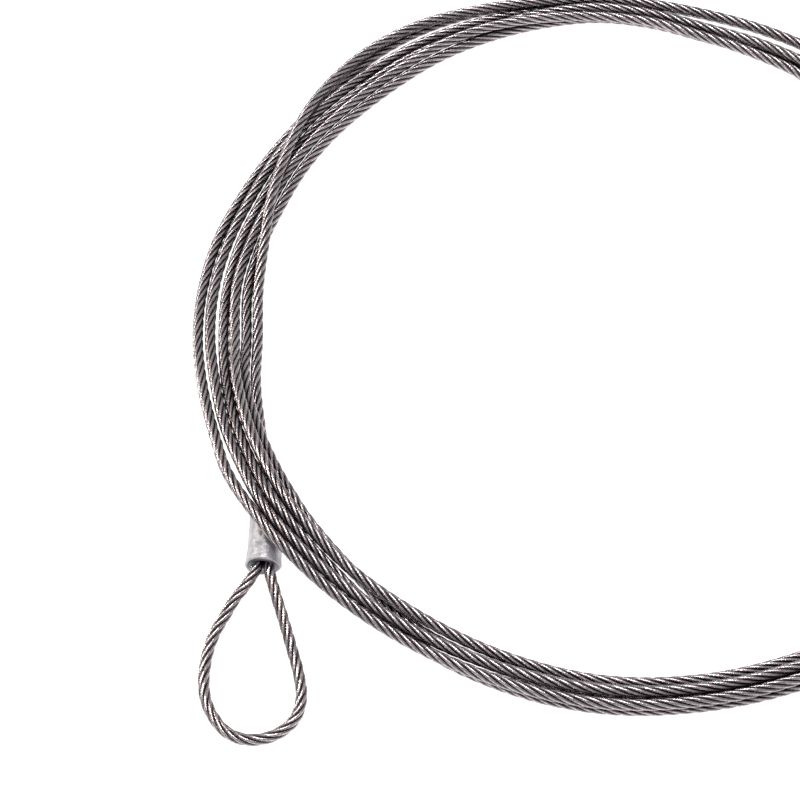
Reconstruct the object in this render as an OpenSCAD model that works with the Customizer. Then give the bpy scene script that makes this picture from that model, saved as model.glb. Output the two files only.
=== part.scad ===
// Wire rope sling: one length of thin 7x19 steel rope with a pressed soft eye at each end,
// wound into a loose round coil that lies on a flat surface. Millimetres, +Z up.
// The origin is the coil's centre on the surface that the sling lies on.

/* [Rope] */
// Diameter of the rope
rope_d = 3; // [2.5:0.1:3.2]
// Sides of the tubes that stand for the rope where it isn't coiled
tube_sides = 8; // [8:1:12]

/* [Coil] */
// Outer diameter of the coil
coil_outer_d = 236; // [232:1:242]
// Width of the band of turns, seen from above
coil_band = 18.5; // [17:0.5:19]
// Height of the band of turns
coil_h = 7; // [6:0.5:8]
// Height of the band where it rides over the tucked end
coil_hump_h = 13; // [12.5:0.5:16]
// Angle that the raised stretch of the band covers
coil_hump_sweep = 70; // [60:5:90]
// Rounding of the band's upper edges
coil_round = 2; // [1:0.5:3]

/* [Ferrules] */
// Outer diameter of a pressed ferrule
ferrule_d = 8.6; // [8:0.1:9]
// Length of a ferrule
ferrule_l = 17; // [14:0.5:18]
// Chamfer round a ferrule's ends
ferrule_chamfer = 0.5; // [0.2:0.1:0.8]
// Depth of the dished mouth
mouth_depth = 0.9; // [0.4:0.1:1.5]
// Height of the waist that joins a ferrule's two rope bores
waist_h = 1.6; // [1:0.1:2.4]

/* [Ends] */
// How far the cut end stands out behind its ferrule
tail_l = 1.5; // [0.5:0.5:3]
// Distance from a ferrule's mouth back to the place where the lead bends
lead_bend_x = 26; // [24:1:28]
// Gap between the two faces of rope at that bend
lead_gap = 0.8; // [0.7:0.1:1.2]

/* [Hidden] */

STEEL = [0.52, 0.49, 0.47];
STEEL_DARK = [0.40, 0.38, 0.37];
ALUMINIUM = [0.80, 0.81, 0.83];

rope_r = rope_d / 2;
coil_r = coil_outer_d / 2;
ferrule_r = ferrule_d / 2;
axis_z = ferrule_r;          // a ferrule lies on the surface, so its axis is this high
bore_y = rope_r;             // the two bores lie side by side and touch

// Where each end lies: the centre of its ferrule's mouth, and the way its eye points.
END_A_AT = [-96.3, -79, 0];
END_A_TURN = -92;
END_B_AT = [70, 6, 0];
END_B_TURN = -90;
HUMP_MIDDLE = 212;           // the direction from the coil's centre to the tucked end

// The slot under the coil that the tucked end leaves by, in end A's own frame.
SLOT_W = 20;
SLOT_H = 9.4;
SLOT_INNER_X = -38;
SLOT_OUTER_X = 14;

// The eye's centreline in an end's own frame: X away from the ferrule's mouth, Z up.
EYE_ROUTE = [
    [0, -1.5, 4.3], [4.5, -3.5, 4.1], [9, -6.5, 3.4], [13, -8.5, 2.7], [17, -10.5, 2.1],
    [22, -12, 1.6], [26, -12.5, 1.5], [31, -12.5, 1.5], [36, -11.5, 1.5], [40, -9.5, 1.5],
    [43.5, -6.5, 1.5], [45.5, -2.5, 1.5], [45.5, 2.5, 1.5], [43.5, 7, 1.5], [39.5, 10.5, 1.5],
    [34.5, 11.5, 1.5], [28, 10.5, 1.5], [21.5, 8.5, 1.6], [14, 6, 2.4], [7, 3.5, 3.7],
    [0, 1.5, 4.3]
];

// The rope from the coil to each bend, in the sling's frame.
ROOT_A_ROUTE = [[-98.5, -36, 2.6], [-98, -41, 3.1], [-97.4, -47, 3.8], [-96.9, -52.6, 4.3]];
ROOT_B_ROUTE = [
    [54.5, 85, 2.5], [60, 77.5, 1.7], [64.5, 71, 1.5], [68, 64, 1.6], [70.5, 56, 2.2],
    [71.5, 46.5, 3.4], [71.5, 39, 4.1], [71.5, 32.4, 4.3]
];

function unit(v) = v / norm(v);

// The rope's direction at each point of a route, with the directions of its two ends given.
function directions(route, first, last) = [
    for (i = [0:len(route) - 1])
        i == 0 ? first : i == len(route) - 1 ? last : unit(route[i + 1] - route[i - 1])
];

// One ring of points round the rope, square to its direction.
function ring_points(centre, direction, r, sides) =
    let (
        across = unit(cross(direction, [0, 0, 1])),
        above = cross(across, direction)
    )
    [for (k = [0:sides - 1])
        centre + r * (cos(360 * k / sides) * across + sin(360 * k / sides) * above)];

// A closed tube along a route.
module tube(route, first, last, r = rope_r, sides = tube_sides) {
    ways = directions(route, first, last);
    rings = [for (i = [0:len(route) - 1]) ring_points(route[i], ways[i], r, sides)];
    points = [for (ring = rings) for (p = ring) p];
    end_at = len(points) - sides;
    near_cap = [for (k = [0:sides - 1]) k];
    far_cap = [for (k = [sides - 1:-1:0]) end_at + k];
    walls = [
        for (i = [0:len(route) - 2]) for (k = [0:sides - 1])
            let (here = i * sides, next = (k + 1) % sides)
            [here + k, here + sides + k, here + sides + next, here + next]
    ];
    polyhedron(points = points, faces = concat([near_cap], [far_cap], walls));
}

// A round bar along X.
module bar_x(from, to, r, y = 0, z = 0, fn = 48) {
    translate([from, y, z]) rotate([0, 90, 0]) cylinder(r = r, h = to - from, $fn = fn);
}

module at_end_a() translate(END_A_AT) rotate([0, 0, END_A_TURN]) children();
module at_end_b() translate(END_B_AT) rotate([0, 0, END_B_TURN]) mirror([0, 1, 0]) children();

// Section of the band of turns: flat below, rounded above.
module band_section(h) {
    inner = coil_r - coil_band;
    translate([inner, 0]) square([coil_band, h - coil_round]);
    translate([inner + coil_round, 0]) square([coil_band - 2 * coil_round, h]);
    for (x = [inner + coil_round, coil_r - coil_round])
        translate([x, h - coil_round]) circle(r = coil_round, $fn = 32);
}

module rope_coil() {
    color(STEEL)
    difference() {
        union() {
            rotate_extrude($fn = 96) band_section(coil_h);
            rotate([0, 0, HUMP_MIDDLE - coil_hump_sweep / 2])
                rotate_extrude(angle = coil_hump_sweep, $fn = 96) band_section(coil_hump_h);
        }
        at_end_a()
            translate([SLOT_INNER_X, -SLOT_W / 2, -1])
                cube([SLOT_OUTER_X - SLOT_INNER_X, SLOT_W, SLOT_H + 1]);
    }
}

// The pieces of one end, in its own frame. The live side carries on to the coil.
module ferrule() {
    color(ALUMINIUM)
    difference() {
        union() {
            bar_x(-ferrule_l + ferrule_chamfer, -ferrule_chamfer, ferrule_r, 0, axis_z);
            bar_x(-ferrule_l, 0, ferrule_r - ferrule_chamfer, 0, axis_z);
        }
        for (side = [-1, 1]) bar_x(-ferrule_l - 1, 1, rope_r, side * bore_y, axis_z);
        translate([-ferrule_l - 1, -bore_y, axis_z - waist_h / 2])
            cube([ferrule_l + 2, 2 * bore_y, waist_h]);
        bar_x(-mouth_depth, 1, ferrule_r - 2 * ferrule_chamfer, 0, axis_z);
    }
}

module live_rope() color(STEEL_DARK) bar_x(-ferrule_l, 0, rope_r, -bore_y, axis_z);
module dead_end() color(STEEL_DARK) bar_x(-ferrule_l - tail_l, 0, rope_r, bore_y, axis_z);
module lead_rope()
    color(STEEL) bar_x(-lead_bend_x + lead_gap / 2, -ferrule_l, rope_r, -bore_y, axis_z);
module eye_rope() color(STEEL) tube(EYE_ROUTE, [1, 0, 0], [-1, 0, 0]);

module lead_root_a()
    color(STEEL) tube(ROOT_A_ROUTE, unit(ROOT_A_ROUTE[1] - ROOT_A_ROUTE[0]),
        [cos(END_A_TURN), sin(END_A_TURN), 0]);
module lead_root_b()
    color(STEEL) tube(ROOT_B_ROUTE, unit(ROOT_B_ROUTE[1] - ROOT_B_ROUTE[0]),
        [cos(END_B_TURN), sin(END_B_TURN), 0]);

rope_coil();
lead_root_a();
at_end_a() lead_rope();  // lead_rope_a
at_end_a() live_rope();  // live_rope_a
at_end_a() dead_end();  // dead_end_a
at_end_a() eye_rope();  // eye_rope_a
at_end_a() ferrule();  // ferrule_a
lead_root_b();
at_end_b() lead_rope();  // lead_rope_b
at_end_b() live_rope();  // live_rope_b
at_end_b() dead_end();  // dead_end_b
at_end_b() eye_rope();  // eye_rope_b
at_end_b() ferrule();  // ferrule_b
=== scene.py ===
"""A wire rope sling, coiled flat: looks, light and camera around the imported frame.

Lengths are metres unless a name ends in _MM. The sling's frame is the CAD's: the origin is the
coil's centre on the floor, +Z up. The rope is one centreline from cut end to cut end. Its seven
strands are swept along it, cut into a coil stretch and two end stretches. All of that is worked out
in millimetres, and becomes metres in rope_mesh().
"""
import math

import bpy
import numpy as np
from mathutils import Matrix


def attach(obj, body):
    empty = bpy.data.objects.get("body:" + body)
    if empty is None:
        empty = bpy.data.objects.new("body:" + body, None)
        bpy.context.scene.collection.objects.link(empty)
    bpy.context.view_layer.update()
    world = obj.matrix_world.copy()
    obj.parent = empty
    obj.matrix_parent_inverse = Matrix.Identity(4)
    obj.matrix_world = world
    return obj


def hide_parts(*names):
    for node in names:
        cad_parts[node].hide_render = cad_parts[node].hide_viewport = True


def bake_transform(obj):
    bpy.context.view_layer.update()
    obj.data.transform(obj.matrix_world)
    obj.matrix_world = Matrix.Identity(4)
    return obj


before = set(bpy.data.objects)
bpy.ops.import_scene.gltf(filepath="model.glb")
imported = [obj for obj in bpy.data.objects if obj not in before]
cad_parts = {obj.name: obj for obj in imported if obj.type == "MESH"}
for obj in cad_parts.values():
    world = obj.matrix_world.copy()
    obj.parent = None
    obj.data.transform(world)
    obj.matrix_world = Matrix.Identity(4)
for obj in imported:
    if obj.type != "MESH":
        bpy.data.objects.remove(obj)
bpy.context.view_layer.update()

MM = 0.001

# ---------------------------------------------------------------- the rope
ROPE_D_MM = 3.0
STRANDS = 6
STRAND_R_MM = 0.5          # half the diameter of one strand
HELIX_R_MM = 1.0           # from the rope's axis to an outer strand's axis
LAY_MM = 21.0              # the rope's length for one turn of a strand
WIRE_TURNS = 3             # turns that the wires make in their strand for each turn of the strand
OUTER_WIRES = 12
WIRE_GROOVE_MM = 0.075     # how deep the grooves between a strand's wires are
RING_STEP_MM = 1.0         # distance between the rings of a strand's mesh

# ---------------------------------------------------------------- where each end lies, as in the CAD
END_A_AT_MM = (-96.3, -79.0, 0.0)
END_A_TURN = math.radians(-92)
END_B_AT_MM = (70.0, 6.0, 0.0)
END_B_TURN = math.radians(-90)
FERRULE_L_MM = 17.0
FERRULE_R_MM = 4.3
TAIL_L_MM = 1.5            # how far the cut end stands out behind the ferrule
LEAD_BEND_X_MM = -26.0     # where the end swings
LEAD_X_MM = (LEAD_BEND_X_MM + 0.6, -21.0, -17.0, -12.0, -6.0)
BORE_Y_MM = ROPE_D_MM / 2

EYE_ROUTE_MM = [
    (0, -1.5, 4.3), (4.5, -3.5, 4.1), (9, -6.5, 3.4), (13, -8.5, 2.7), (17, -10.5, 2.1),
    (22, -12, 1.6), (26, -12.5, 1.5), (31, -12.5, 1.5), (36, -11.5, 1.5), (40, -9.5, 1.5),
    (43.5, -6.5, 1.5), (45.5, -2.5, 1.5), (45.5, 2.5, 1.5), (43.5, 7, 1.5), (39.5, 10.5, 1.5),
    (34.5, 11.5, 1.5), (28, 10.5, 1.5), (21.5, 8.5, 1.6), (14, 6, 2.4), (7, 3.5, 3.7),
    (0, 1.5, 4.3),
]
ROOT_A_ROUTE_MM = [(-98.5, -36, 2.6), (-98, -41, 3.1), (-97.4, -47, 3.8), (-96.9, -52.6, 4.3)]
ROOT_B_ROUTE_MM = [
    (54.5, 85, 2.5), (60, 77.5, 1.7), (64.5, 71, 1.5), (68, 64, 1.6), (70.5, 56, 2.2),
    (71.5, 46.5, 3.4), (71.5, 39, 4.1), (71.5, 32.4, 4.3),
]
# Where the coil's strands end and each end's rope begins.
CUT_A_MM = (-97.7, -43.5, 3.4)
CUT_B_MM = (57.0, 81.5, 2.0)

# ---------------------------------------------------------------- the coil's lanes
# Seen from above the rope runs clockwise. Each station is a direction from the coil's centre, in
# degrees, and the radius and height in millimetres of each pass of the rope there, first to last.
# The stations from 35 to -45 degrees are guesses, and so are all heights and all hidden passes. The
# other radii rest on measurements that scratch scripts worked out: some stand as they came, and most
# were adjusted by hand. coil_line() runs the turns through them and laid() moves them off each other.
COIL_START_DEG = 200.1
COIL_TURN_DEG = 1942.8     # five turns and 143 degrees
START_LANE_MM = (104.9, 2.6)
END_LANE_MM = (101.0, 2.5)
ENDS_ALONE_DEG = 4         # stations nearer than this to the coil's ends are left out
STATIONS_MM = [
    (193, [(102.8, 2.2), (116.8, 5.8), (110.5, 4.6), (113.2, 5.8), (105.8, 4.2), (108.0, 6.2)]),
    (185, [(100.6, 1.8), (116.5, 3.8), (109.6, 3.0), (113.1, 3.8), (103.7, 2.2), (106.8, 4.0)]),
    (175, [(100.9, 2.7), (115.9, 2.0), (109.2, 1.6), (112.8, 2.0), (103.8, 1.6), (106.9, 3.0)]),
    (167, [(101.9, 4.3), (115.1, 1.5), (108.6, 1.5), (112.1, 1.7), (103.1, 1.5), (105.9, 2.7)]),
    (159, [(104.7, 5.2), (113.6, 1.5), (107.8, 1.5), (110.9, 2.6), (102.4, 1.5), (105.2, 2.8)]),
    (151, [(107.6, 6.0), (112.9, 1.5), (108.0, 1.5), (110.5, 3.2), (102.7, 1.5), (105.4, 3.0)]),
    (143, [(111.2, 6.1), (112.8, 1.5), (108.0, 1.5), (110.4, 3.2), (102.9, 1.5), (105.4, 3.1)]),
    (135, [(114.3, 5.2), (113.5, 1.5), (108.0, 1.5), (110.6, 2.8), (103.1, 1.5), (105.5, 3.1)]),
    (127, [(116.5, 4.3), (115.8, 1.5), (108.7, 1.6), (111.7, 1.5), (103.9, 1.5), (106.4, 2.9)]),
    (119, [(116.6, 4.4), (116.8, 1.5), (109.3, 1.5), (112.4, 1.5), (105.2, 1.5), (107.3, 3.7)]),
    (110, [(115.2, 4.2), (116.6, 1.5), (109.4, 1.6), (112.5, 1.5), (106.3, 1.5), (107.8, 4.1)]),
    (101, [(113.6, 4.1), (115.4, 1.5), (109.9, 2.9), (112.2, 1.5), (107.2, 1.5), (106.8, 4.5)]),
    (92, [(112.6, 4.1), (114.2, 1.5), (109.5, 4.1), (110.9, 1.5), (107.7, 1.5), (105.8, 4.1)]),
    (83, [(111.4, 4.1), (113.2, 1.5), (107.4, 4.1), (109.2, 1.5), (106.0, 1.5), (104.2, 4.2)]),
    (75, [(110.5, 4.1), (112.5, 1.5), (105.0, 4.2), (106.8, 1.5), (103.8, 1.5), (101.8, 4.1)]),
    (66, [(110.2, 4.1), (112.2, 1.5), (104.4, 4.2), (106.4, 1.5), (103.2, 1.5), (100.8, 3.6)]),
    (57, [(109.9, 4.1), (111.9, 1.5), (103.9, 4.2), (106.3, 1.5), (103.3, 1.5)]),
    (35, [(111.0, 4.2), (112.5, 1.5), (105.5, 4.2), (107.5, 1.5), (104.5, 1.5)]),
    (10, [(113.0, 4.3), (114.0, 1.5), (108.0, 4.3), (109.5, 1.5), (106.5, 1.5)]),
    (-15, [(115.2, 4.4), (115.6, 1.5), (110.8, 4.4), (111.4, 1.5), (108.0, 1.5)]),
    (-45, [(116.4, 4.5), (116.4, 1.5), (113.0, 4.5), (112.8, 1.5), (109.0, 1.5)]),
    (-73, [(115.3, 4.4), (115.8, 1.5), (112.3, 4.4), (112.6, 1.5), (108.9, 1.5)]),
    (-84, [(116.3, 4.5), (116.4, 1.5), (113.1, 4.5), (113.0, 1.5), (109.5, 1.5)]),
    (-97, [(117.3, 4.5), (117.2, 1.5), (113.7, 4.5), (113.5, 1.5), (109.9, 1.5)]),
    (-110, [(117.0, 4.6), (116.5, 1.6), (113.5, 4.6), (112.3, 1.6), (109.6, 2.8)]),
    (-122, [(117.0, 5.2), (115.0, 2.3), (113.9, 5.5), (111.2, 1.8), (109.5, 4.3)]),
    (-134, [(118.0, 7.6), (112.8, 4.7), (114.9, 7.6), (109.0, 3.9), (110.6, 6.6)]),
    (-145.5, [(118.9, 10.1), (113.4, 7.4), (115.9, 10.1), (108.9, 7.4), (111.2, 9.4)]),
    (-153, [(119.1, 9.4), (112.2, 6.9), (114.7, 9.1), (107.6, 7.3), (110.0, 9.0)]),
    (-158.5, [(117.8, 8.0), (111.6, 6.4), (114.2, 7.8), (106.7, 6.2), (109.2, 8.1)]),
]

# ---------------------------------------------------------------- how the turns are laid together
POINT_STEP_MM = 2.0
RELAX_STEPS = 260
PAIRS_EVERY = 20           # steps between two searches for turns that are near each other
EARLY_PART = 0.7           # the part of the steps that also pulls the turns back to their lanes
PULL_BACK = 0.985
SMOOTH_EARLY = (6, 0.5)    # points each way that a shift is averaged over, and how fully
SMOOTH_LATE = (2, 0.25)
PUSH = 1.3                 # each overlap is pushed apart by a little more than its size
HOLD_POINTS = 8.0          # points at each end of the coil that move less than the rest
EASE_REACH_MM = 9.0        # how far from the coil's two ends the rope's bends are eased
EASE_POINTS = 6            # points each way that they are averaged over
NEAR_MM = 6.0              # turns farther apart than this aren't tested against each other
NEAR_SKIP = 15             # neighbours along the rope that are never tested against each other
SWING_A = math.radians(10)
FLARE_MM = 0.3             # how far the pressed ferrule's flash and mouth stand out from its body
CLEAR_MM = 0.1             # room between the ferrule and the turns that lie over it


def turned(points, angle, about):
    """Points turned about a vertical line through about."""
    c = math.cos(angle)
    s = math.sin(angle)
    p = np.asarray(points, float) - about
    x = p[:, 0] * c - p[:, 1] * s
    y = p[:, 0] * s + p[:, 1] * c
    return np.stack([x, y, p[:, 2]], axis=1) + about


def placed(points, at, turn, mirrored=False):
    """Points of an end's own frame, in the sling's frame."""
    p = np.array(points, float)
    if mirrored:
        p[:, 1] *= -1
    return turned(p, turn, np.zeros(3)) + np.array(at)


def curve_through(knots, values, at):
    """A smooth curve through values at knots: cubic pieces with chord slopes."""
    knots = np.asarray(knots, float)
    values = np.asarray(values, float)
    slopes = np.gradient(values, knots, axis=0)
    k = np.clip(np.searchsorted(knots, at, side="right") - 1, 0, len(knots) - 2)
    span = knots[k + 1] - knots[k]
    t = ((at - knots[k]) / span)[:, None]
    span = span[:, None]
    start = (1 + 2 * t) * (1 - t) ** 2 * values[k] + t * (1 - t) ** 2 * span * slopes[k]
    end = t ** 2 * (3 - 2 * t) * values[k + 1] + t ** 2 * (t - 1) * span * slopes[k + 1]
    return start + end


def distances(points):
    """How far along the line each of its points is."""
    steps = np.linalg.norm(np.diff(points, axis=0), axis=1)
    return np.concatenate([[0.0], np.cumsum(steps)])


def resampled(points, step):
    """A smooth line through the points, with points a step apart."""
    along = distances(points)
    fine_at = np.linspace(0, along[-1], len(points) * 24)
    fine = curve_through(along, points, fine_at)
    length = distances(fine)
    count = max(2, int(round(length[-1] / step)) + 1)
    at = np.linspace(0, length[-1], count)
    return np.stack([np.interp(at, length, fine[:, i]) for i in range(3)], axis=1)


def coil_line():
    """The coil's turns as first laid, from end a's root to end b's."""
    knots = [(0.0,) + START_LANE_MM, (COIL_TURN_DEG,) + END_LANE_MM]
    for angle, lanes in STATIONS_MM:
        first = (COIL_START_DEG - angle) % 360
        for lap, lane in enumerate(lanes):
            turn = first + 360 * lap
            if ENDS_ALONE_DEG < turn < COIL_TURN_DEG - ENDS_ALONE_DEG:
                knots.append((turn,) + lane)
    knots = np.array(sorted(knots))
    turn = np.append(np.arange(0, COIL_TURN_DEG, 1.0), COIL_TURN_DEG)
    lane = curve_through(knots[:, 0], knots[:, 1:], turn)
    angle = np.radians(COIL_START_DEG - turn)
    return np.stack([lane[:, 0] * np.cos(angle), lane[:, 0] * np.sin(angle), lane[:, 1]], axis=1)


def end_line(at, turn, mirrored):
    """An end's rope from its bend, through the ferrule and the eye, to the cut end."""
    lead = [(x, -BORE_Y_MM, FERRULE_R_MM) for x in LEAD_X_MM]
    back = [(x, BORE_Y_MM, FERRULE_R_MM) for x in (-6.0, -12.0, -FERRULE_L_MM - TAIL_L_MM)]
    return placed(lead + EYE_ROUTE_MM + back, at, turn, mirrored)


def near_pairs(points):
    """Pairs of a point and a segment of the line that are close to each other."""
    square = (points ** 2).sum(axis=1)
    gap = square[:, None] + square[None, :] - 2 * points @ points.T
    i, j = np.nonzero(gap < NEAR_MM ** 2)
    keep = (np.abs(i - j) > NEAR_SKIP) & (j < len(points) - 1)
    return i[keep], j[keep]


def push_apart(points, i, j):
    """Moves each point and segment that overlap half their overlap apart."""
    a = points[j]
    b = points[j + 1]
    along = b - a
    t = ((points[i] - a) * along).sum(axis=1) / (along ** 2).sum(axis=1)
    t = np.clip(t, 0, 1)[:, None]
    away = points[i] - (a + t * along)
    gap = np.linalg.norm(away, axis=1)[:, None]
    hit = (gap < ROPE_D_MM)[:, 0]
    i, j, t, away, gap = i[hit], j[hit], t[hit], away[hit], gap[hit]
    step = away / np.maximum(gap, 1e-6) * (ROPE_D_MM - gap) * 0.5
    total = np.zeros_like(points)
    count = np.zeros(len(points))
    for index, share in ((i, step), (j, -step * (1 - t)), (j + 1, -step * t)):
        for axis in range(3):
            total[:, axis] += np.bincount(index, share[:, axis], len(points))
    for index, share in ((i, 1.0), (j, 0.5), (j + 1, 0.5)):
        count += share * np.bincount(index, minlength=len(points))
    points += total / np.maximum(count, 1.0)[:, None] * PUSH


def push_off(points, start, end, radius):
    """Moves the points whose rope would cut into a fixed round bar with flat ends out of it."""
    along = end - start
    length = np.linalg.norm(along)
    along = along / length
    at = (points - start) @ along
    past = np.maximum(np.maximum(-at, at - length), 0)
    out = points - start - at[:, None] * along
    reach = np.linalg.norm(out, axis=1)
    side = np.maximum(reach - radius, 0)
    gap = np.hypot(side, past)
    hit = gap < ROPE_D_MM / 2 + CLEAR_MM
    lift = np.sqrt(np.maximum((ROPE_D_MM / 2 + CLEAR_MM) ** 2 - past[hit] ** 2, 0)) + radius
    points[hit] += out[hit] / np.maximum(reach[hit], 1e-6)[:, None] * (lift - reach[hit])[:, None]


def smoothed(values, reach):
    """A running average over reach points each way, with the ends held."""
    width = 2 * reach + 1
    weights = 1 - np.abs(np.arange(width) - reach) / (reach + 1)
    weights /= weights.sum()
    padded = np.pad(values, ((reach, reach), (0, 0)), mode="edge")
    return np.stack([np.convolve(padded[:, i], weights, "valid") for i in range(values.shape[1])], axis=1)


def end_a_bar(start_x, end_x, y):
    """A bar along end a, between two places in the end's own frame."""
    return placed([(start_x, y, FERRULE_R_MM), (end_x, y, FERRULE_R_MM)], END_A_AT_MM, END_A_TURN)


def end_bars():
    """The bars that the turns over end a keep clear of, at rest and at both ends of its swing."""
    body = end_a_bar(-FERRULE_L_MM, 0, 0)
    lead = end_a_bar(LEAD_BEND_X_MM, -FERRULE_L_MM, -BORE_Y_MM)
    tail = end_a_bar(-FERRULE_L_MM - TAIL_L_MM, -FERRULE_L_MM, BORE_Y_MM)
    pivot = lead[0]
    bars = []
    for angle in (-SWING_A, 0, SWING_A):
        bars.append((*turned(body, angle, pivot), FERRULE_R_MM + FLARE_MM))
        bars.append((*turned(lead, angle, pivot), ROPE_D_MM / 2))
        bars.append((*turned(tail, angle, pivot), ROPE_D_MM / 2))
    return bars


def laid(line, bars):
    """The coil's turns moved apart until none goes through another, the floor or the tucked end."""
    target = line.copy()
    points = line.copy()
    ends = np.minimum(np.arange(len(line)), np.arange(len(line))[::-1])
    hold = np.clip((ends - 1) / HOLD_POINTS, 0, 1)[:, None]
    for step in range(RELAX_STEPS):
        if step % PAIRS_EVERY == 0:
            i, j = near_pairs(points)
        early = step < RELAX_STEPS * EARLY_PART
        push_apart(points, i, j)
        for start, end, radius in bars:
            push_off(points, start, end, radius)
        points[:, 2] = np.maximum(points[:, 2], ROPE_D_MM / 2)
        shift = points - target
        reach, fully = SMOOTH_EARLY if early else SMOOTH_LATE
        shift += fully * (smoothed(shift, reach) - shift)
        if early:
            shift *= PULL_BACK
        points = target + shift * hold
    return points


def eased(line, places, reach):
    """The line with its bends made gentler near some places."""
    soft = smoothed(line, EASE_POINTS)
    for place in places:
        near = np.exp(-((line - np.array(place)) ** 2).sum(axis=1) / reach ** 2)[:, None]
        line = line + near * (soft - line)
    return line


def rope_line():
    """The whole rope's centreline, from end a's cut to end b's cut."""
    end_a = end_line(END_A_AT_MM, END_A_TURN, False)[::-1]
    end_b = end_line(END_B_AT_MM, END_B_TURN, True)
    coil = resampled(coil_line(), POINT_STEP_MM)
    coil = laid(coil, end_bars())
    parts = [end_a, np.array(ROOT_A_ROUTE_MM[::-1][:-1]), coil, np.array(ROOT_B_ROUTE_MM[1:]), end_b]
    line = resampled(np.concatenate(parts), RING_STEP_MM)
    line = eased(line, (ROOT_A_ROUTE_MM[0], ROOT_B_ROUTE_MM[0]), EASE_REACH_MM)
    return resampled(line, RING_STEP_MM)


def cut_near(line, point):
    """The index of the point of the line nearest a place."""
    return int(np.argmin(((line - np.array(point)) ** 2).sum(axis=1)))


def unit_ways(line):
    """The line's direction at each of its points."""
    ways = np.gradient(line, axis=0)
    return ways / np.linalg.norm(ways, axis=1)[:, None]


def rolled_frames(line):
    """The line's directions, and two directions square to it that don't twist round it."""
    ways = unit_ways(line)
    first = np.zeros_like(line)
    side = np.cross(ways[0], (0.0, 0.0, 1.0))
    for i in range(len(line)):
        side = side - ways[i] * (side @ ways[i])
        side = side / math.sqrt(side @ side)
        first[i] = side
    return ways, first, np.cross(ways, first)


# ---------------------------------------------------------------- strand meshes
TURN_SHADE_FROM_MM = 2.5          # painted shade darkens wires that are nearer than this to another turn's axis
TURN_SHADE_FULL_MM = 1.7
TURN_SHADE_DEPTH = 0.26           # how far the painted shade takes a wire down towards the colour of the strands' grooves
SHARP_ANGLE = math.radians(80)


def turns_beside(line):
    """Pairs of a point of the line and the nearest point of each other turn beside it."""
    square = (line ** 2).sum(axis=1)
    gap = square[:, None] + square[None, :] - 2 * line @ line.T
    middle = gap[:, 1:-1]
    lowest = (middle <= gap[:, :-2]) & (middle < gap[:, 2:]) & (middle < NEAR_MM ** 2)
    i, j = np.nonzero(lowest)
    keep = np.abs(i - j - 1) > NEAR_SKIP
    return i[keep], j[keep] + 1


def painted_turn_shade(rings, line, ways, pairs):
    """How much painted shade each point gets: one where another turn lies against it, none out in the
    open.
    """
    i, j = pairs
    off = rings[i] - line[j][:, None]
    off = off - (off * ways[j][:, None]).sum(axis=2)[..., None] * ways[j][:, None]
    room = np.full(rings.shape[:2], NEAR_MM)
    np.minimum.at(room, i, np.linalg.norm(off, axis=2))
    return np.clip((TURN_SHADE_FROM_MM - room) / (TURN_SHADE_FROM_MM - TURN_SHADE_FULL_MM), 0, 1)


def lobed_section():
    """Angles and radii round a strand's section: a crest at each wire, a groove between two."""
    count = 2 * OUTER_WIRES
    angle = np.arange(count) * 2 * math.pi / count
    radius = np.where(np.arange(count) % 2 == 0, STRAND_R_MM, STRAND_R_MM - WIRE_GROOVE_MM)
    return angle, radius


def strand_rings(line, frames, turn_at, which, pairs):
    """One strand's rings of points along the line, and each point's height, lowered for painted shade.

    The height is the distance from the rope's axis, as a part of the rope's radius, lowered for painted
    shade where another turn lies against the strand.
    """
    ways, first, second = frames
    angle, radius = lobed_section()
    if which < STRANDS:
        phase = turn_at + which * 2 * math.pi / STRANDS
        out = np.cos(phase)[:, None] * first + np.sin(phase)[:, None] * second
        centre = line + HELIX_R_MM * out
        spin = -WIRE_TURNS * turn_at
    else:
        out = first
        centre = line
        spin = turn_at
    way = unit_ways(centre)
    up = out - way * (out * way).sum(axis=1)[:, None]
    up /= np.linalg.norm(up, axis=1)[:, None]
    side = np.cross(way, up)
    round_by = spin[:, None] + angle[None, :]
    across = np.cos(round_by)[..., None] * up[:, None] + np.sin(round_by)[..., None] * side[:, None]
    rings = centre[:, None] + radius[None, :, None] * across
    height = np.linalg.norm(rings - line[:, None], axis=2) / (ROPE_D_MM / 2)
    # painted shade where another turn lies against the strand
    height *= 1 - TURN_SHADE_DEPTH * painted_turn_shade(rings, line, ways, pairs)
    height[[0, -1]] = 1.0      # bare metal where the rope was cut
    return rings, height


def tube_faces(rings, sides, offset):
    """Quads between rings of points, and a cap at each end."""
    ring = np.arange(rings - 1)[:, None] * sides + offset
    k = np.arange(sides)[None, :]
    nxt = (np.arange(sides)[None, :] + 1) % sides
    quads = np.stack([ring + k, ring + nxt, ring + sides + nxt, ring + sides + k], axis=2)
    quads = quads.reshape(-1, 4)
    last = offset + (rings - 1) * sides
    caps = [list(range(offset + sides - 1, offset - 1, -1)), list(range(last, last + sides))]
    return quads, caps


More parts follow.
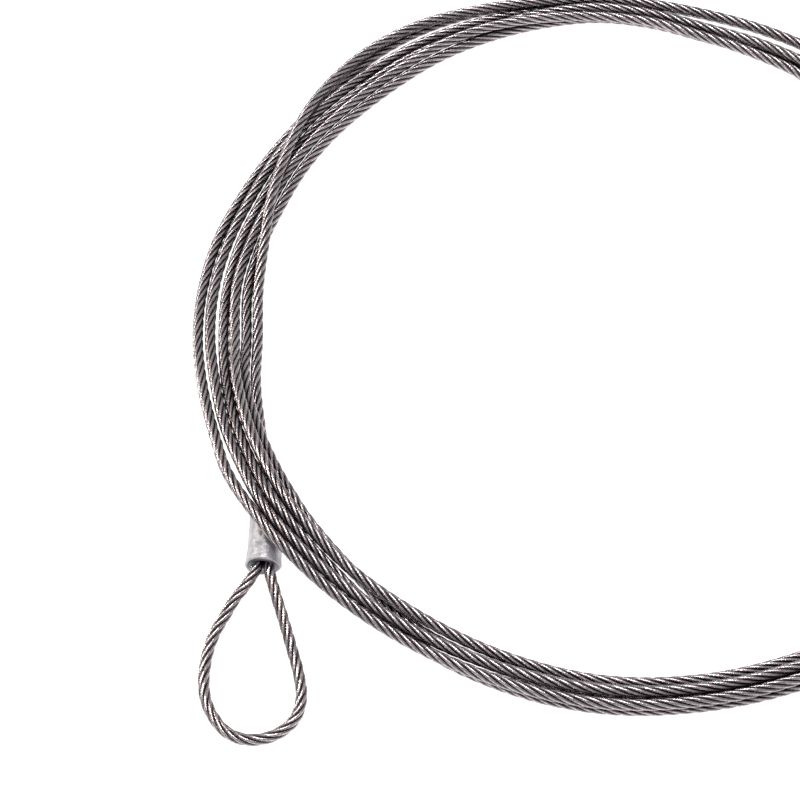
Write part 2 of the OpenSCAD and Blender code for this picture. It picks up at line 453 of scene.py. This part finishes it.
def rope_mesh(name, strands, value_name="height_in_rope"):
    """One mesh object of several tubes, each given as its rings and a value at each of their points."""
    points = []
    values = []
    loops = []
    sizes = []
    offset = 0
    for rings, value in strands:
        count, sides = rings.shape[:2]
        quads, caps = tube_faces(count, sides, offset)
        loops.append(quads.reshape(-1))
        sizes.append(np.full(len(quads), 4))
        for cap in caps:
            loops.append(np.array(cap))
            sizes.append(np.array([len(cap)]))
        points.append(rings.reshape(-1, 3) * MM)
        values.append(value.reshape(-1))
        offset += count * sides
    points = np.concatenate(points)
    loops = np.concatenate(loops).astype(np.int32)
    sizes = np.concatenate(sizes).astype(np.int32)
    mesh = bpy.data.meshes.new(name)
    mesh.vertices.add(len(points))
    mesh.vertices.foreach_set("co", points.astype(np.float32).reshape(-1))
    mesh.loops.add(len(loops))
    mesh.loops.foreach_set("vertex_index", loops)
    mesh.polygons.add(len(sizes))
    starts = np.concatenate([[0], np.cumsum(sizes)[:-1]]).astype(np.int32)
    mesh.polygons.foreach_set("loop_start", starts)
    mesh.polygons.foreach_set("use_smooth", np.ones(len(sizes), bool))
    mesh.update(calc_edges=True)
    mesh.validate()
    mesh.set_sharp_from_angle(angle=SHARP_ANGLE)
    if value_name == "height_in_rope":
        # one on the wires' crests, none in the grooves between them, for painted shade in those grooves
        wires = mesh.attributes.new("on_wire", "FLOAT", "POINT")
        wires.data.foreach_set("value", (np.arange(len(points)) % 2 == 0).astype(np.float32))
    layer = mesh.attributes.new(value_name, "FLOAT", "POINT")
    layer.data.foreach_set("value", np.concatenate(values).astype(np.float32))
    thing = bpy.data.objects.new(name, mesh)
    bpy.context.scene.collection.objects.link(thing)
    return thing


# ---------------------------------------------------------------- materials
# Steel's colour by height in the rope: painted shade, near black, low between the strands, up to bright
# steel on the crests.
STEEL_STOPS = [(0.50, (0.012, 0.008, 0.011)), (0.74, (0.11, 0.090, 0.100)), (0.93, (0.46, 0.415, 0.430)),
               (1.0, (0.85, 0.79, 0.80))]
# How much of the colour each strand keeps: painted shade in the grooves between its wires, full colour on
# their crests.
WIRE_STOPS = [(0.0, (0.45, 0.42, 0.43)), (0.55, (1.0, 1.0, 1.0))]
# Aluminium's colour by the ferrule's painted shade: near black deep in the mouths, grey on the flat ends,
# paler on the body.
ALUMINIUM_STOPS = [(0.0, (0.03, 0.03, 0.035)), (0.5, (0.27, 0.265, 0.30)), (0.9, (0.36, 0.36, 0.39)),
                   (1.0, (0.50, 0.50, 0.53))]
FLOOR_GLOW = 1.0           # the table and the far background are pure white
SKY_LIGHT = 0.48           # what the rest of the room gives


def new_material(name):
    """A material with one Principled shader, its nodes and links."""
    material = bpy.data.materials.new(name)
    material.use_nodes = True
    nodes = material.node_tree.nodes
    return material, nodes, material.node_tree.links, nodes["Principled BSDF"]


def ramp(nodes, stops):
    """A colour ramp with the given places and colours."""
    node = nodes.new("ShaderNodeValToRGB")
    elements = node.color_ramp.elements
    while len(elements) < len(stops):
        elements.new(0.5)
    for element, (place, colour) in zip(elements, stops):
        element.position = place
        element.color = (*colour, 1.0)
    return node


def noise(nodes, links, scale, detail, low, high):
    """Noise of the object's own place, spread between two values."""
    place = nodes.new("ShaderNodeTexCoord")
    texture = nodes.new("ShaderNodeTexNoise")
    texture.inputs["Scale"].default_value = scale
    texture.inputs["Detail"].default_value = detail
    spread = nodes.new("ShaderNodeMapRange")
    spread.inputs["From Min"].default_value = 0.3
    spread.inputs["From Max"].default_value = 0.7
    spread.inputs["To Min"].default_value = low
    spread.inputs["To Max"].default_value = high
    links.new(place.outputs["Object"], texture.inputs["Vector"])
    links.new(texture.outputs["Fac"], spread.inputs["Value"])
    return spread.outputs["Result"]


def shaded(nodes, links, colour, factor):
    """A colour made lighter or darker by a factor."""
    scale = nodes.new("ShaderNodeVectorMath")
    scale.operation = "SCALE"
    links.new(colour, scale.inputs[0])
    links.new(factor, scale.inputs["Scale"])
    return scale.outputs["Vector"]


def bumped(nodes, links, shader, height, strength, depth):
    """Small relief on a shader's surface."""
    bump = nodes.new("ShaderNodeBump")
    bump.inputs["Strength"].default_value = strength
    bump.inputs["Distance"].default_value = depth
    links.new(height, bump.inputs["Height"])
    links.new(bump.outputs["Normal"], shader.inputs["Normal"])


def steel_material():
    """Bright drawn steel wire, with painted shade, brown-black, down between the strands and where the
    turns lie together.
    """
    material, nodes, links, shader = new_material("rope_steel_wire")
    # Painted shade: darker the lower a point lies between the strands, and where another turn lies
    # against it.
    height = nodes.new("ShaderNodeAttribute")
    height.attribute_name = "height_in_rope"
    by_height = ramp(nodes, STEEL_STOPS)
    links.new(height.outputs["Fac"], by_height.inputs["Fac"])
    film = noise(nodes, links, 55, 2, 0.82, 1.12)
    wear = noise(nodes, links, 1300, 2, 0.72, 1.25)
    # Painted shade in the grooves between each strand's wires.
    wire = nodes.new("ShaderNodeAttribute")
    wire.attribute_name = "on_wire"
    by_wire = ramp(nodes, WIRE_STOPS)
    links.new(wire.outputs["Fac"], by_wire.inputs["Fac"])
    colour = shaded(nodes, links, by_height.outputs["Color"], film)
    colour = shaded(nodes, links, colour, wear)
    both = nodes.new("ShaderNodeVectorMath")
    both.operation = "MULTIPLY"
    links.new(colour, both.inputs[0])
    links.new(by_wire.outputs["Color"], both.inputs[1])
    links.new(both.outputs["Vector"], shader.inputs["Base Color"])
    links.new(noise(nodes, links, 900, 2, 0.17, 0.32), shader.inputs["Roughness"])
    shader.inputs["Metallic"].default_value = 1.0
    bumped(nodes, links, shader, noise(nodes, links, 4200, 1, 0.0, 1.0), 0.35, 0.00003)
    return material


def aluminium_material():
    """Pressed aluminium: pale, mottled, with painted shade on its flat ends, darkest down in its mouths.
    """
    material, nodes, links, shader = new_material("ferrule_pressed_aluminium")
    # Painted shade on the flat ends and down in the mouths.
    depth = nodes.new("ShaderNodeAttribute")
    depth.attribute_name = "out_of_mouth"
    by_depth = ramp(nodes, ALUMINIUM_STOPS)
    links.new(depth.outputs["Fac"], by_depth.inputs["Fac"])
    colour = shaded(nodes, links, by_depth.outputs["Color"], noise(nodes, links, 420, 4, 0.82, 1.08))
    colour = shaded(nodes, links, colour, noise(nodes, links, 2400, 2, 0.9, 1.06))
    links.new(colour, shader.inputs["Base Color"])
    links.new(noise(nodes, links, 700, 3, 0.38, 0.58), shader.inputs["Roughness"])
    shader.inputs["Metallic"].default_value = 0.75
    bumped(nodes, links, shader, noise(nodes, links, 900, 4, 0.0, 1.0), 0.5, 0.00012)
    return material


def floor_material():
    """A lit white table, as in a light tent."""
    material, nodes, links, shader = new_material("white_table")
    shader.inputs["Base Color"].default_value = (0.5, 0.5, 0.5, 1)
    shader.inputs["Roughness"].default_value = 0.9
    shader.inputs["Specular IOR Level"].default_value = 0.0
    shader.inputs["Emission Color"].default_value = (1, 1, 1, 1)
    shader.inputs["Emission Strength"].default_value = FLOOR_GLOW
    return material


# ---------------------------------------------------------------- ferrules
PRESS_SIDES = 96
FLASH_MM = 0.16            # the two ridges where the press's halves met
FLATS_MM = 0.16            # four slight flats, deepest halfway along
CREASE_MM = 0.30           # a crease along the top
CREASE_TURN = math.radians(97)
DENT_MM = 0.38             # a dent beside it, nearer the mouth
DENT_TURN = math.radians(108)
LOWEST_MM = 0.05           # so that the ridges don't go into the table
# From inside the rear face round the outside to inside the mouth: distance along the ferrule, radius
# as a part of the body's, and how far out of the painted shade of the inside it is.
FERRULE_PROFILE = [
    (-15.9, 0.34, 0.0), (-16.2, 0.42, 0.15), (-16.5, 0.52, 0.5), (-16.6, 0.66, 0.6), (-16.65, 0.80, 0.65),
    (-16.75, 0.86, 0.8), (-16.95, 0.90, 1.0), (-16.9, 0.94, 1.0), (-16.5, 0.975, 1.0), (-15.7, 0.99, 1.0),
    (-14.0, 1.0, 1.0), (-12.5, 1.0, 1.0), (-11.0, 1.0, 1.0), (-9.5, 1.0, 1.0), (-8.2, 1.0, 1.0),
    (-7.0, 1.0, 1.0), (-5.8, 1.0, 1.0), (-4.6, 1.0, 1.0), (-3.6, 1.005, 1.0), (-2.6, 1.01, 1.0),
    (-1.7, 1.02, 1.0), (-1.0, 1.035, 1.0), (-0.5, 1.045, 1.0), (-0.15, 1.04, 1.0), (0.0, 1.01, 1.0),
    (0.05, 0.96, 1.0), (-0.10, 0.90, 0.85), (-0.30, 0.86, 0.55), (-0.38, 0.80, 0.55), (-0.40, 0.66, 0.52),
    (-0.45, 0.52, 0.45), (-0.80, 0.42, 0.15), (-1.20, 0.34, 0.0),
]


def press_marks(x, angle):
    """How far the press has pushed a point of the ferrule's outside in or out, in millimetres."""
    flash = FLASH_MM * (np.exp(-(np.sin(angle) / 0.11) ** 2)) * np.clip((x + FERRULE_L_MM) / 3, 0, 1)
    flats = -FLATS_MM * np.cos(2 * angle) ** 2 * np.clip(1 - ((x + 9) / 6.5) ** 2, 0, 1)
    from_crease = np.angle(np.exp(1j * (angle - CREASE_TURN - 0.02 * (x + 8))))
    crease = -CREASE_MM * np.exp(-(from_crease / 0.07) ** 2) * np.clip(1 - ((x + 9.0) / 3.2) ** 2, 0, 1)
    from_dent = np.angle(np.exp(1j * (angle - DENT_TURN)))
    dent = -DENT_MM * np.exp(-(from_dent / 0.28) ** 2 - ((x + 5.4) / 1.1) ** 2)
    waves = 0.035 * np.sin(3 * angle + 0.9 * x) + 0.025 * np.sin(7 * angle - 1.7 * x + 1.0)
    return flash + flats + crease + dent + waves


def ferrule_mesh(name, at, turn):
    """A pressed sleeve as one closed mesh, with a rolled lip round each of its flat ends."""
    angle = np.arange(PRESS_SIDES) * 2 * math.pi / PRESS_SIDES
    rows = []
    for x, part, out in FERRULE_PROFILE:
        radius = FERRULE_R_MM * part + press_marks(np.full(PRESS_SIDES, x), angle) * min(part, 1.0) ** 3
        slant = 0.18 * part * (x > -4) * np.sin(angle * 2 + 0.4)
        points = np.stack([x + slant, radius * np.cos(angle), radius * np.sin(angle)], axis=1)
        points[:, 2] = np.maximum(points[:, 2] + FERRULE_R_MM, LOWEST_MM)
        rows.append((placed(points, at, turn), np.full(PRESS_SIDES, out)))
    rings = np.stack([row[0] for row in rows])
    outs = np.stack([row[1] for row in rows])
    return rope_mesh(name, [(rings, outs)], "out_of_mouth")


# ---------------------------------------------------------------- build
line_mm = rope_line()
along_mm = distances(line_mm)
frames = rolled_frames(line_mm)
turn_at = along_mm * 2 * math.pi / LAY_MM
cut_a = cut_near(line_mm, CUT_A_MM)
cut_b = cut_near(line_mm, CUT_B_MM)
steel = steel_material()
beside = turns_beside(line_mm)
all_strands = [strand_rings(line_mm, frames, turn_at, which, beside) for which in range(STRANDS + 1)]


def stretch(which, first, last):
    """A strand's rings from one ring of the line to another, both counted in."""
    rings, height = all_strands[which]
    return rings[first:last + 1], height[first:last + 1]


def make_coil_strand(which):
    """One strand of the coil, attached to the coil's body."""
    name = "core_strand" if which == STRANDS else "strand_%d" % (which + 1)
    thing = rope_mesh(name, [stretch(which, cut_a, cut_b)])
    thing.data.materials.append(steel)
    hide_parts("rope_coil")
    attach(thing, "coil")


for strand in range(STRANDS + 1):
    make_coil_strand(strand)

END_NODES = ["lead_root", "lead_rope", "live_rope", "dead_end", "eye_rope"]


def make_end(letter, first, last, exit_at):
    """One end's whole rope, from where it leaves the coil's strands to its cut end."""
    thing = rope_mesh("rope_end_" + letter, [stretch(which, first, last) for which in range(STRANDS + 1)])
    thing.data.materials.append(steel)
    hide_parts(*["%s_%s" % (node, letter) for node in END_NODES])
    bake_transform(thing)
    points = line_mm[first:last + 1]
    if exit_at == "last":
        points = points[::-1]


make_end("a", 0, cut_a, "last")
make_end("b", cut_b, len(line_mm) - 1, "first")

ferrule_metal = aluminium_material()
for letter, at, turn in (("a", END_A_AT_MM, END_A_TURN), ("b", END_B_AT_MM, END_B_TURN)):
    sleeve = ferrule_mesh("ferrule_sleeve_" + letter, at, turn)
    sleeve.data.materials.append(ferrule_metal)
    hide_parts("ferrule_" + letter)
    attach(sleeve, "end_" + letter)

# ---------------------------------------------------------------- floor, light and camera
TABLE_SIZE = 6.0
TABLE_Z = -0.0001          # just under the rope, so that no face lies in the table's own plane
bpy.ops.mesh.primitive_plane_add(size=TABLE_SIZE, location=(0, 0, TABLE_Z))
table = bpy.context.object
table.name = "table_top"
table.data.materials.append(floor_material())

world = bpy.data.worlds.new("studio")
world.use_nodes = True
sky = world.node_tree.nodes["Background"]
sky.inputs["Color"].default_value = (1, 1, 1, 1)
seen = world.node_tree.nodes.new("ShaderNodeLightPath")
glow = world.node_tree.nodes.new("ShaderNodeMapRange")
glow.inputs["To Min"].default_value = SKY_LIGHT
glow.inputs["To Max"].default_value = FLOOR_GLOW
world.node_tree.links.new(seen.outputs["Is Camera Ray"], glow.inputs["Value"])
world.node_tree.links.new(glow.outputs["Result"], sky.inputs["Strength"])
bpy.context.scene.world = world
bpy.context.scene.view_settings.view_transform = "Standard"


def soft_light(name, place, aim, size, power, colour):
    """A square soft box that points at a place."""
    data = bpy.data.lights.new(name, "AREA")
    data.shape = "SQUARE"
    data.size = size
    data.energy = power
    data.color = colour
    lamp = bpy.data.objects.new(name, data)
    lamp.location = place
    way = np.array(aim) - np.array(place)
    lamp.rotation_euler = (math.atan2(math.hypot(way[0], way[1]), -way[2]), 0,
                           math.atan2(way[1], way[0]) - math.pi / 2)
    bpy.context.scene.collection.objects.link(lamp)


soft_light("key_left", (-0.8, 0.25, 0.55), (-0.05, 0, 0), 0.12, 3.0, (1.0, 0.90, 0.76))
soft_light("fill_top", (-0.1, 0.35, 1.5), (0, 0, 0), 0.35, 12, (1.0, 0.97, 0.96))

# The eye is at the lower left of the picture, and the coil's right-hand side runs out of it.
CAMERA_AT = (-0.06207, -0.3467, 0.493)
CAMERA_DOWN = math.radians(57)
optics = bpy.data.cameras.new("view")
optics.lens = 100
optics.sensor_width = 36
optics.clip_start = 0.01
camera = bpy.data.objects.new("view", optics)
camera.location = CAMERA_AT
camera.rotation_euler = (math.pi / 2 - CAMERA_DOWN, 0, 0)
bpy.context.scene.collection.objects.link(camera)
bpy.context.scene.camera = camera
